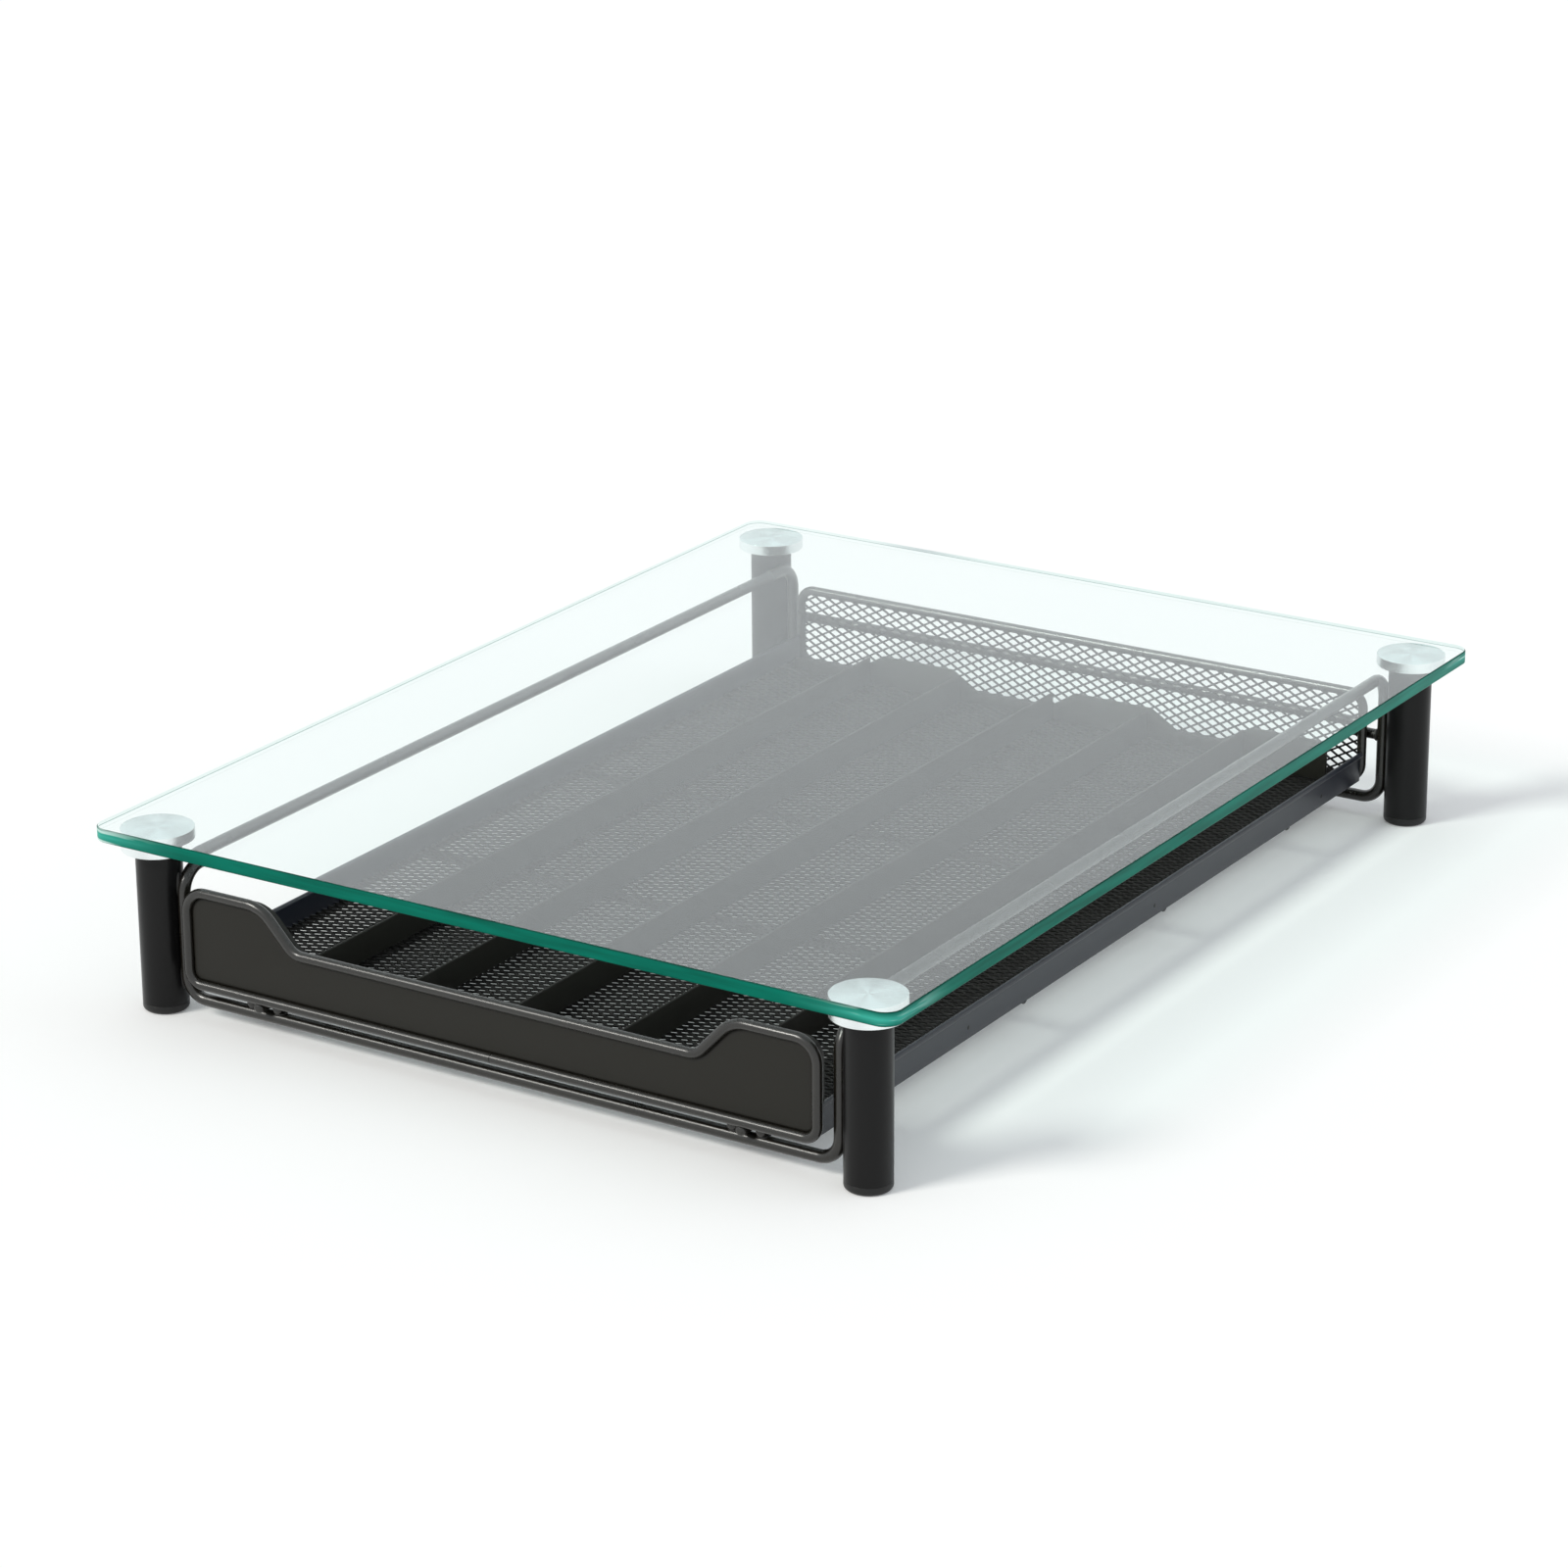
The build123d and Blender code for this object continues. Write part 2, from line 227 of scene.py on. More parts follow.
def build_smudge_group() -> bpy.types.NodeTree:
    """Make the group for handled glass and bright metal: faint wipe marks in the roughness.

    Returns:
        The node group.
    """
    tree, g, given, out = new_group(
        "wipe_marks",
        [("Roughness", "NodeSocketFloat", 0.0), ("Marks", "NodeSocketFloat", 0.02)],
        [("Roughness", "NodeSocketFloat")],
    )
    place = g.node("ShaderNodeTexCoord").outputs["Object"]
    turn, stretch = (0.0, 0.0, 0.6), (9.0, 38.0, 9.0)
    wiped = g.node("ShaderNodeMapping", {"Vector": place, "Rotation": turn, "Scale": stretch}).outputs[0]
    mask = g.spread(g.noise(wiped, 1.0, 4.0), 0.0, 1.0, 0.52, 0.78)
    rough = g.math("ADD", given.outputs["Roughness"], g.math("MULTIPLY", mask, given.outputs["Marks"]))
    g.feed(out, {"Roughness": rough})
    return tree


class Effects:
    """The shared node groups, made once."""

    def __init__(self) -> None:
        """Build every group that more than one finish uses."""
        self.coat = build_coat_group()
        self.smudge = build_smudge_group()


def blank_material(name: str) -> tuple[bpy.types.Material, Graph, bpy.types.Node, bpy.types.Node]:
    """Make a material that holds one Principled shader.

    Args:
        name: The material's name.

    Returns:
        The material, its graph, the Principled node and the output node.
    """
    material = bpy.data.materials.new(name)
    material.use_nodes = True
    tree = material.node_tree
    tree.nodes.clear()
    graph = Graph(tree)
    shader = graph.node("ShaderNodeBsdfPrincipled")
    output = graph.node("ShaderNodeOutputMaterial", {"Surface": shader.outputs[0]})
    return material, graph, shader, output


@dataclass(frozen=True)
class PowderCoat:
    """Satin powder coat on steel, as on the wires, the sheet pieces and the mesh."""

    name: str
    colour: Colour
    roughness: float = 0.38
    drift: float = 0.25
    peel: float = 0.12
    dust: float = 0.03
    gloss: float = 0.3
    coat: float = 0.15
    coat_roughness: float = 0.15

    def build(self, effects: Effects) -> bpy.types.Material:
        """Return the finished material."""
        material, g, shader, _ = blank_material(self.name)
        given = {
            "Colour": (*self.colour, 1.0),
            "Drift": self.drift,
            "Roughness": self.roughness,
            "Peel": self.peel,
            "Dust": self.dust,
        }
        skin = g.node("ShaderNodeGroup", given, node_tree=effects.coat).outputs
        g.feed(
            shader,
            {
                "Base Color": skin["Colour"],
                "Roughness": skin["Roughness"],
                "Normal": skin["Normal"],
                "Specular IOR Level": self.gloss,
                "Coat Weight": self.coat,
                "Coat Roughness": self.coat_roughness,
            },
        )
        return material


@dataclass(frozen=True)
class TurnedMetal:
    """Lathe-faced metal: fine rings round the middle, and a painted highlight that fans out from it as bright
    rays in the base colour, with painted shade between them.
    """

    name: str
    colour: Colour
    roughness: float = 0.24
    ring_pitch: float = 0.35 * MM
    ring_depth: float = 0.06
    anisotropy: float = 0.8
    # How deep the painted shade between the rays goes, and the angles of the two painted highlight rays.
    fan_dark: float = 0.84
    fan_turn: float = math.radians(62)
    fan_cross: float = math.radians(70)
    flicker: float = 0.08
    marks: float = 0.05

    def build(self, effects: Effects) -> bpy.types.Material:
        """Return the finished material. It reads rings from the piece's own turned UV map."""
        material, g, shader, _ = blank_material(self.name)
        turned = g.node("ShaderNodeUVMap", uv_map="turned").outputs[0]
        radius = g.node("ShaderNodeVectorMath", {0: turned}, operation="LENGTH").outputs["Value"]
        wave = g.math("SINE", g.math("MULTIPLY", radius, 2 * math.pi / self.ring_pitch))
        fine = g.math("MULTIPLY", radius, 4200.0)
        jitter = g.node("ShaderNodeTexNoise", {"W": fine}, noise_dimensions="1D").outputs["Fac"]
        rings = g.math("ADD", g.math("MULTIPLY", wave, 0.5), jitter)
        bump = g.node("ShaderNodeBump", {"Strength": self.ring_depth, "Distance": 0.00004, "Height": rings})
        # Painted highlight: two bright rays through the middle stand in for the fanned sheen of turned metal,
        # and the colour between them is lowered as painted shade.
        across, along, _ = g.node("ShaderNodeSeparateXYZ", {0: turned}).outputs
        around = g.math("ARCTAN2", along, across)
        wide = self.ray(g, around, self.fan_turn, 5.0)
        slim = self.ray(g, around, self.fan_turn + self.fan_cross, 14.0)
        flicker = g.math("MULTIPLY", g.math("SUBTRACT", jitter, 0.5), self.flicker)
        painted_fan = g.math("ADD", g.math("MAXIMUM", wide, slim), flicker)
        painted_shade_colour = tuple(self.fan_dark * c for c in self.colour)
        given = {"Roughness": self.roughness, "Marks": self.marks}
        marks = g.node("ShaderNodeGroup", given, node_tree=effects.smudge)
        g.feed(
            shader,
            {
                "Base Color": g.blend(painted_fan, (*painted_shade_colour, 1.0), (*self.colour, 1.0)),
                "Roughness": marks.outputs["Roughness"],
                "Normal": bump.outputs[0],
                "Tangent": g.node("ShaderNodeTangent", direction_type="RADIAL", axis="Z").outputs[0],
                "Metallic": 1.0,
                "Anisotropic": self.anisotropy,
            },
        )
        return material

    @staticmethod
    def ray(g: Graph, around: bpy.types.NodeSocket, turn: float, narrowness: float) -> bpy.types.NodeSocket:
        """Make a painted-highlight mask that is bright along one line through the middle.

        Args:
            g: The material's graph.
            around: The angle round the middle.
            turn: The line's own angle.
            narrowness: How quickly the brightness falls off beside the line.

        Returns:
            The mask.
        """
        facing = g.math("ABSOLUTE", g.math("COSINE", g.math("SUBTRACT", around, turn)))
        return g.math("POWER", facing, narrowness)


@dataclass(frozen=True)
class ClearGlass:
    """Clear tempered glass that lets the lamps through to what stands under it."""

    name: str
    colour: Colour = (0.93, 0.985, 0.972)
    ior: float = 1.52

    def build(self, effects: Effects) -> bpy.types.Material:
        """Return the finished material."""
        material, g, shader, output = blank_material(self.name)
        given = {"Roughness": 0.0, "Marks": 0.012}
        marks = g.node("ShaderNodeGroup", given, node_tree=effects.smudge)
        g.feed(
            shader,
            {
                "Base Color": (*self.colour, 1.0),
                "Roughness": marks.outputs["Roughness"],
                "IOR": self.ior,
                "Transmission Weight": 1.0,
            },
        )
        rays = g.node("ShaderNodeLightPath")
        unseen = g.math("MAXIMUM", rays.outputs["Is Shadow Ray"], rays.outputs["Is Diffuse Ray"])
        clear = g.node("ShaderNodeBsdfTransparent", {"Color": (*self.colour, 1.0)})
        mixed = g.node("ShaderNodeMixShader", {0: unseen, 1: shader.outputs[0], 2: clear.outputs[0]})
        g.feed(output, {"Surface": mixed.outputs[0]})
        return material


@dataclass(frozen=True)
class PolishedEdge:
    """The edge of the glass. From outside the eye looks along the sheet and sees its own green. Near the
    corners and towards the rear of the side edges it is mixed towards a pale green as painted light, and near
    the corners it carries painted glints.
    """

    name: str
    deep: Colour
    pale: Colour
    half_size: tuple[float, float] = (160 * MM, 210 * MM)
    middle: float = 65.5 * MM
    half_height: float = 2.5 * MM
    corner_reach: float = 42 * MM
    side_share: tuple[float, float] = (0.04, 0.28)
    roughness: float = 0.3
    gloss: float = 0.06
    streak: float = 0.25
    glint: float = 0.8
    inside: Colour = (0.88, 0.96, 0.94)

    def build(self, effects: Effects) -> bpy.types.Material:
        """Return the finished material, which only tints what is seen through it from inside the sheet."""
        material, g, shader, output = blank_material(self.name)
        place = g.node("ShaderNodeTexCoord").outputs["Object"]
        x, y, z = g.node("ShaderNodeSeparateXYZ", {0: place}).outputs
        # Painted light: the green is mixed towards the pale colour near the corners, most at mid-height, and
        # along the side edges more so towards the rear.
        spare_x = g.math("SUBTRACT", self.half_size[0], g.math("ABSOLUTE", x))
        spare_y = g.math("SUBTRACT", self.half_size[1], g.math("ABSOLUTE", y))
        along = g.math("DIVIDE", g.math("ADD", spare_x, spare_y), self.corner_reach, clamp=True)
        corner = g.math("POWER", g.math("SUBTRACT", 1.0, along), 1.4)
        level = g.math("DIVIDE", g.math("SUBTRACT", z, self.middle), self.half_height)
        band = g.math("SUBTRACT", 1.0, g.math("ABSOLUTE", level), clamp=True)
        rearward = g.spread(y, 0.0, 1.0, -self.half_size[1], self.half_size[1])
        on_side = g.math("LESS_THAN", spare_x, 0.5 * MM)
        painted_paler = g.spread(g.math("POWER", rearward, 2.0), *self.side_share)
        side = g.math("MULTIPLY", on_side, painted_paler)
        painted_light_share = g.math("MAXIMUM", g.math("MULTIPLY", corner, band), side)
        ground = g.blend(painted_light_share, (*self.deep, 1.0), (*self.pale, 1.0))
        stretched = g.node("ShaderNodeMapping", {"Vector": place, "Scale": (30.0, 30.0, 420.0)}).outputs[0]
        streak = g.noise(stretched, 1.0, 3.0)
        tone = g.spread(streak, 1.0 - self.streak, 1.0 + self.streak, 0.3, 0.7)
        shaded = g.scale(ground, tone)
        # Painted glints: white flecks near the corners, painted into the base colour.
        bright = g.spread(streak, 0.0, 1.0, 0.54, 0.62)
        glint = g.math("MULTIPLY", g.math("MULTIPLY", bright, g.math("POWER", corner, 2.0)), self.glint)
        given = {"Roughness": self.roughness, "Marks": 0.1}
        marks = g.node("ShaderNodeGroup", given, node_tree=effects.smudge)
        g.feed(
            shader,
            {
                "Base Color": g.blend(glint, shaded, (0.85, 1.0, 0.97, 1.0)),
                "Roughness": marks.outputs["Roughness"],
                "Specular IOR Level": self.gloss,
            },
        )
        behind = g.node("ShaderNodeNewGeometry").outputs["Backfacing"]
        clear = g.node("ShaderNodeBsdfTransparent", {"Color": (*self.inside, 1.0)})
        mixed = g.node("ShaderNodeMixShader", {0: behind, 1: shader.outputs[0], 2: clear.outputs[0]})
        g.feed(output, {"Surface": mixed.outputs[0]})
        return material


class Palette:
    """Every finish of the object, made once and shared by its pieces."""

    def __init__(self, effects: Effects) -> None:
        """Build the materials.

        Args:
            effects: The shared node groups.
        """
        wire = PowderCoat(
            "satin_black_wire",
            (0.009, 0.0078, 0.0056),
            0.28,
            peel=0.0,
            gloss=0.5,
            coat=0.3,
            coat_roughness=0.2,
        )
        sheet = PowderCoat(
            "graphite_sheet", (0.0175, 0.0165, 0.0135), 0.42, drift=0.1, peel=0.18, gloss=0.16, coat=0.05
        )
        strip = PowderCoat("blue_black_strip", (0.014, 0.016, 0.024), 0.38, drift=0.1, gloss=0.4)
        mesh = PowderCoat("black_mesh", (0.007, 0.0065, 0.006), 0.55, peel=0.05, gloss=0.2, coat=0.0)
        post = PowderCoat(
            "satin_black_post",
            (0.006, 0.0058, 0.006),
            0.36,
            peel=0.15,
            gloss=0.16,
            coat=0.08,
            coat_roughness=0.1,
        )
        weld = PowderCoat("coated_weld", (0.010, 0.009, 0.008), 0.42, drift=0.6, peel=0.5)
        glide = PowderCoat("moulded_glide", (0.008, 0.008, 0.0078), 0.45, peel=0.2, dust=0.0)
        # In both glass edge finishes the second, pale colour is painted light.
        edge = PolishedEdge("green_glass_edge", (0.0, 0.130, 0.088), (0.06, 0.48, 0.38))
        # The arris takes a darker green than the edge, also when seen from inside the sheet: a painted shade
        # line along the top and bottom of the edge.
        arris = PolishedEdge(
            "dark_glass_arris", (0.0, 0.065, 0.045), (0.02, 0.20, 0.15), streak=0.4, inside=(0.30, 0.46, 0.42)
        )
        self.wire = wire.build(effects)
        self.sheet = sheet.build(effects)
        self.strip = strip.build(effects)
        self.mesh = mesh.build(effects)
        self.post = post.build(effects)
        self.weld = weld.build(effects)
        self.glide = glide.build(effects)
        self.stud = TurnedMetal("stud_steel", (0.55, 0.55, 0.56), 0.35, anisotropy=0.0).build(effects)
        self.disc = TurnedMetal("turned_disc", (0.90, 0.95, 0.95)).build(effects)
        self.glass = ClearGlass("clear_glass").build(effects)
        self.glass_edge = edge.build(effects)
        self.glass_arris = arris.build(effects)


# ---------------------------------------------------------------------------
# Shaping
# ---------------------------------------------------------------------------


def rod_line(node: str) -> tuple[Vector, Vector, float]:
    """Work out the straight rod that fills a CAD node's box.

    Args:
        node: The CAD node.

    Returns:
        The two ends of the centre line, and the radius.
    """
    low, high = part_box(node)
    size = high - low
    along = max(range(3), key=lambda axis: size[axis])
    start, stop = (low + high) / 2, (low + high) / 2
    start[along], stop[along] = low[along], high[along]
    return start, stop, size[0 if along else 1] / 2


class Former:
    """One piece in the making: a bmesh, and the steps that turn it into a finished object."""

    def __init__(self) -> None:
        """Start with nothing on the bench."""
        self.bm = bmesh.new()

    def finish(
        self,
        name: str,
        body: Body,
        slot: Slot,
        materials: Sequence[bpy.types.Material],
        replaces: Sequence[str] = (),
        smooth_angle: float = 35.0,
    ) -> bpy.types.Object:
        """Hand the piece over to its body.

        Args:
            name: The piece's name.
            body: The body it rides on.
            slot: The record's material slot; it is not used.
            materials: Its materials, in the order of its faces' numbers.
            replaces: The CAD nodes that it stands for.
            smooth_angle: Edges bent by less than this many degrees are shaded as round.

        Returns:
            The finished object, at the origin.
        """
        bmesh.ops.remove_doubles(self.bm, verts=self.bm.verts, dist=TOUCHING)
        for face in self.bm.faces:
            face.smooth = True
        for edge in self.bm.edges:
            bent = len(edge.link_faces) == 2 and edge.calc_face_angle(0.0) > math.radians(smooth_angle)
            edge.smooth = not bent
        mesh = bpy.data.meshes.new(name)
        self.bm.to_mesh(mesh)
        self.bm.free()
        for material in materials:
            mesh.materials.append(material)
        piece = bpy.data.objects.new(name, mesh)
        bpy.context.scene.collection.objects.link(piece)
        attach(piece, body.value)
        if replaces:
            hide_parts(*replaces)
        LOG.info("%s: %d faces on %s", name, len(mesh.polygons), body.value)
        return piece

    def box(self, low: Point, high: Point) -> list[bmesh.types.BMVert]:
        """Add a box between two corners and return its vertices."""
        low_v, high_v = Vector(low), Vector(high)
        made = bmesh.ops.create_cube(self.bm, size=1.0)["verts"]
        bmesh.ops.scale(self.bm, verts=made, vec=high_v - low_v)
        bmesh.ops.translate(self.bm, verts=made, vec=(low_v + high_v) / 2)
        return made

    def soften(self, edges: Iterable[bmesh.types.BMEdge], width: float, segments: int = 2) -> list:
        """Round edges over and return the new faces."""
        return bmesh.ops.bevel(
            self.bm,
            geom=list(edges),
            offset=width,
            offset_type="OFFSET",
            segments=segments,
            profile=0.5,
            affect="EDGES",
            clamp_overlap=True,
            material=-1,
        )["faces"]

    def pillar(self, centre: Point, radius: float, height: float, segments: int = 64) -> list:
        """Add an upright cylinder on a point and return its vertices."""
        made = bmesh.ops.create_cone(
            self.bm,
            cap_ends=True,
            cap_tris=False,
            segments=segments,
            radius1=radius,
            radius2=radius,
            depth=height,
        )["verts"]
        bmesh.ops.translate(self.bm, verts=made, vec=Vector(centre) + Vector((0, 0, height / 2)))
        return made

    def grow(self, edges: Iterable[bmesh.types.BMEdge], step: Vector) -> list[bmesh.types.BMEdge]:
        """Draw edges out by a step and return the new far edges."""
        made = bmesh.ops.extrude_edge_only(self.bm, edges=list(edges))["geom"]
        bmesh.ops.translate(self.bm, verts=[g for g in made if isinstance(g, bmesh.types.BMVert)], vec=step)
        return [g for g in made if isinstance(g, bmesh.types.BMEdge)]

    def rod(
        self,
        corners: Sequence[Point],
        radius: float,
        bend: float | Sequence[float] = 0.0,
        sides: int = 24,
        steps: int = 10,
        ease: float = 0.0,
    ) -> None:
        """Bend round stock along straight runs joined by tangent arcs.

        Args:
            corners: The corner points of the centre line.
            radius: The stock's radius.
            bend: The centre line's radius, one for all corners or one for each.
            sides: Faces around the stock.
            steps: Faces along each bend.
            ease: How far the cut ends are rounded over.
        """
        points = [Vector(p) for p in corners]
        heading = (points[1] - points[0]).normalized()
        ring = bmesh.ops.create_circle(self.bm, cap_ends=False, radius=radius, segments=sides)["verts"]
        bmesh.ops.rotate(self.bm, verts=ring, matrix=heading.to_track_quat("Z", "Y").to_matrix())
        bmesh.ops.translate(self.bm, verts=ring, vec=points[0])
        first = last = list({edge for vert in ring for edge in vert.link_edges})
        here = points[0]
        bends = [bend] * (len(points) - 2) if isinstance(bend, float) else list(bend)
        for before, corner, after, curve in zip(points, points[1:], points[2:], bends):
            heading, turned = (corner - before).normalized(), (after - corner).normalized()
            turn = heading.angle(turned)
            reach = curve * math.tan(turn / 2)
            last = self.grow(last, corner - heading * reach - here)
            axis = heading.cross(turned).normalized()
            swept = bmesh.ops.spin(
                self.bm,
                geom=last + list({vert for edge in last for vert in edge.verts}),
                cent=corner - heading * reach + axis.cross(heading) * curve,
                axis=axis,
                dvec=(0.0, 0.0, 0.0),
                angle=turn,
                steps=steps,
                use_duplicate=False,
            )
            last = [g for g in swept["geom_last"] if isinstance(g, bmesh.types.BMEdge)]
            here = corner + turned * reach
        last = self.grow(last, points[-1] - here)
        for rim in (first, last):
            bmesh.ops.contextual_create(self.bm, geom=rim)
        if ease:
            self.soften(first + last, ease, 4)
        bmesh.ops.recalc_face_normals(self.bm, faces=self.bm.faces)

    def bead(self, centre: Point, radii: Point) -> None:
        """Add a small weld bead, an egg of the given half sizes, on a point."""
        place = Matrix.Translation(centre) @ Matrix.Diagonal((*radii, 1.0))
        bmesh.ops.create_icosphere(self.bm, subdivisions=3, radius=1.0, matrix=place)

    def outline(self, corners: Sequence[Point]) -> bmesh.types.BMFace:
        """Add one flat face with the given corners and return it."""
        return self.bm.faces.new([self.bm.verts.new(corner) for corner in corners])

    def thicken(self, thickness: float) -> None:
        """Give the whole surface a wall that lies behind its faces."""
        bmesh.ops.solidify(self.bm, geom=list(self.bm.faces), thickness=thickness)
        bmesh.ops.recalc_face_normals(self.bm, faces=self.bm.faces)


def wire_piece(
    palette: Palette,
    body: Body,
    node: str,
    name: str,
    path: Sequence[Point],
    radius: float,
    bend: float | Sequence[float] = 0.0,
    ease: float = 0.0,
) -> None:
    """Make one wire in place of its CAD node.

    Args:
        palette: The finishes.
        body: The body it rides on.
        node: The CAD node.
        name: The new piece's name.
        path: The corner points of its centre line.
        radius: Its radius.
        bend: The centre line's radius at the corners.
        ease: How far its cut ends are rounded over.
    """
    former = Former()
    former.rod(path, radius, bend, ease=ease)
    former.finish(name, body, Slot.WIRE, [palette.wire], [node])


@dataclass(frozen=True)
class DiamondMesh:
    """Expanded metal sheet: diamond openings in staggered rows, with strands that twist as they cross."""

    pitch_x: float = 6.33 * MM
    pitch_y: float = 3.43 * MM
    strand: float = 0.62 * MM
    thick: float = 0.6 * MM
    twist: float = 0.18 * MM

    def spread(self, former: Former, width: float, length: float) -> None:
        """Lay the mesh out flat about the origin, cut to size.

        Args:
            former: Where the mesh is made.
            width: Its extent along X.
            length: Its extent along Y.
        """
        bm = former.bm
        slant = math.hypot(self.pitch_x, self.pitch_y)
        open_x = (self.pitch_x - self.strand * slant / self.pitch_y) / 2
        open_y = (self.pitch_y - self.strand * slant / self.pitch_x) / 2
        knot = bmesh.ops.create_circle(bm, cap_ends=True, radius=1.0, segments=4)["verts"]
        bmesh.ops.scale(bm, verts=knot, vec=(self.pitch_x / 2 - open_x, self.pitch_y / 2 - open_y, 1.0))
        for vert in knot:
            vert.co.z = math.copysign(self.twist, vert.co.y) if abs(vert.co.x) < TOUCHING else 0.0
        top = max(knot, key=lambda vert: vert.co.y)
        for edge in list(top.link_edges):
            lean = math.copysign(open_x, edge.other_vert(top).co.x)
            former.grow([edge], Vector((lean, open_y, -self.twist)))
        self.repeat(bm, Vector((self.pitch_x / 2, self.pitch_y / 2, 0.0)), 2)
        across, along = math.ceil(width / self.pitch_x) + 2, math.ceil(length / self.pitch_y) + 2
        self.repeat(bm, Vector((self.pitch_x, 0.0, 0.0)), across)
        self.repeat(bm, Vector((0.0, self.pitch_y, 0.0)), along)
        back = Vector((-(across - 0.5) * self.pitch_x / 2, -(along - 0.5) * self.pitch_y / 2, 0.0))
        bmesh.ops.translate(bm, verts=bm.verts, vec=back)
        bmesh.ops.remove_doubles(bm, verts=bm.verts, dist=self.strand / 50)
        for edge_at, outward in (
            ((width / 2, 0, 0), (1, 0, 0)),
            ((-width / 2, 0, 0), (-1, 0, 0)),
            ((0, length / 2, 0), (0, 1, 0)),
            ((0, -length / 2, 0), (0, -1, 0)),
        ):
            geom = list(bm.verts) + list(bm.edges) + list(bm.faces)
            bmesh.ops.bisect_plane(bm, geom=geom, plane_co=edge_at, plane_no=outward, clear_outer=True)
        bmesh.ops.translate(bm, verts=bm.verts, vec=(0, 0, self.thick / 2))
        former.thicken(self.thick)

    @staticmethod
    def repeat(bm: bmesh.types.BMesh, step: Vector, count: int) -> None:
        """Lay further copies of everything there along a step, until there are as many as the count."""
        cell = list(bm.verts) + list(bm.edges) + list(bm.faces)
        for number in range(1, count):
            copy = bmesh.ops.duplicate(bm, geom=cell)["geom"]
            verts = [g for g in copy if isinstance(g, bmesh.types.BMVert)]
            bmesh.ops.translate(bm, verts=verts, vec=step * number)


# ---------------------------------------------------------------------------
# Stand
# ---------------------------------------------------------------------------


@dataclass
class GlassShelf:
    """The tempered glass plate on top."""

    palette: Palette
    corner: float = 6.5 * MM
    arris: float = 0.35 * MM
    corner_steps: int = 14

    def build(self) -> None:
        """Make the plate, with clear faces, green edges and fine ground arrises between them."""
        former = Former()
        former.box(*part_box("glass_top"))
        bm = former.bm
        upright = [e for e in bm.edges if abs(e.verts[0].co.z - e.verts[1].co.z) > self.arris]
        former.soften(upright, self.corner, self.corner_steps)
        bm.normal_update()
        flats = [face for face in bm.faces if abs(face.normal.z) > 0.9]
        former.soften({edge for face in flats for edge in face.edges}, self.arris, 1)
        bm.normal_update()
        for face in bm.faces:
            rise = abs(face.normal.z)
            # Faces between the flats and the edges take the arris finish with its painted shade.
            face.material_index = 0 if rise > 0.9 else 1 if rise < 0.3 else 2
        glass = [self.palette.glass, self.palette.glass_edge, self.palette.glass_arris]
        former.finish("glass_shelf", Body.STAND, Slot.GLASS, glass, ["glass_top"])


@dataclass
class CornerPost:
    """A post with its mounting disc above and its glide below."""

    palette: Palette
    end: End
    side: Side
    glide_round: float = 1.5 * MM
    post_ease: float = 0.1 * MM
    disc_ease: float = 0.45 * MM
    sides: int = 72

    def build(self) -> None:
        """Make the three turned pieces of this corner."""
        name = f"{self.end.word}_{self.side.word}"
        self.turn(f"{name}_post", self.post_ease, self.post_ease, Slot.POST, self.palette.post)
        self.turn(f"{name}_disc", self.disc_ease, self.post_ease, Slot.DISC, self.palette.disc)
        self.turn(f"{name}_glide", self.glide_round, self.post_ease, Slot.GLIDE, self.palette.glide)

    def turn(
        self, node: str, low_ease: float, high_ease: float, slot: Slot, material: bpy.types.Material
    ) -> None:
        """Make one turned piece in place of its CAD node.

        Args:
            node: The CAD node, whose box gives the place and the size.
            low_ease: Rounding of the lower edge.
            high_ease: Rounding of the upper edge.
            slot: Its material slot.
            material: Its material.
        """
        low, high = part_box(node)
        middle = (low + high) / 2
        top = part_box(node.replace("glide", "post"))[0].z if slot is Slot.GLIDE else high.z
        former = Former()
        former.pillar((middle.x, middle.y, low.z), (high.x - low.x) / 2, top - low.z, self.sides)
        for level, ease in ((low.z, low_ease), (top, high_ease)):
            rim = [e for e in former.bm.edges if all(abs(v.co.z - level) < TOUCHING for v in e.verts)]
            former.soften(rim, ease, 5)
        turned = former.bm.loops.layers.uv.new("turned")
        for face in former.bm.faces:
            for loop in face.loops:
                loop[turned].uv = (loop.vert.co.x - middle.x, loop.vert.co.y - middle.y)
        former.finish(f"{node}_turned", Body.STAND, slot, [material], [node])


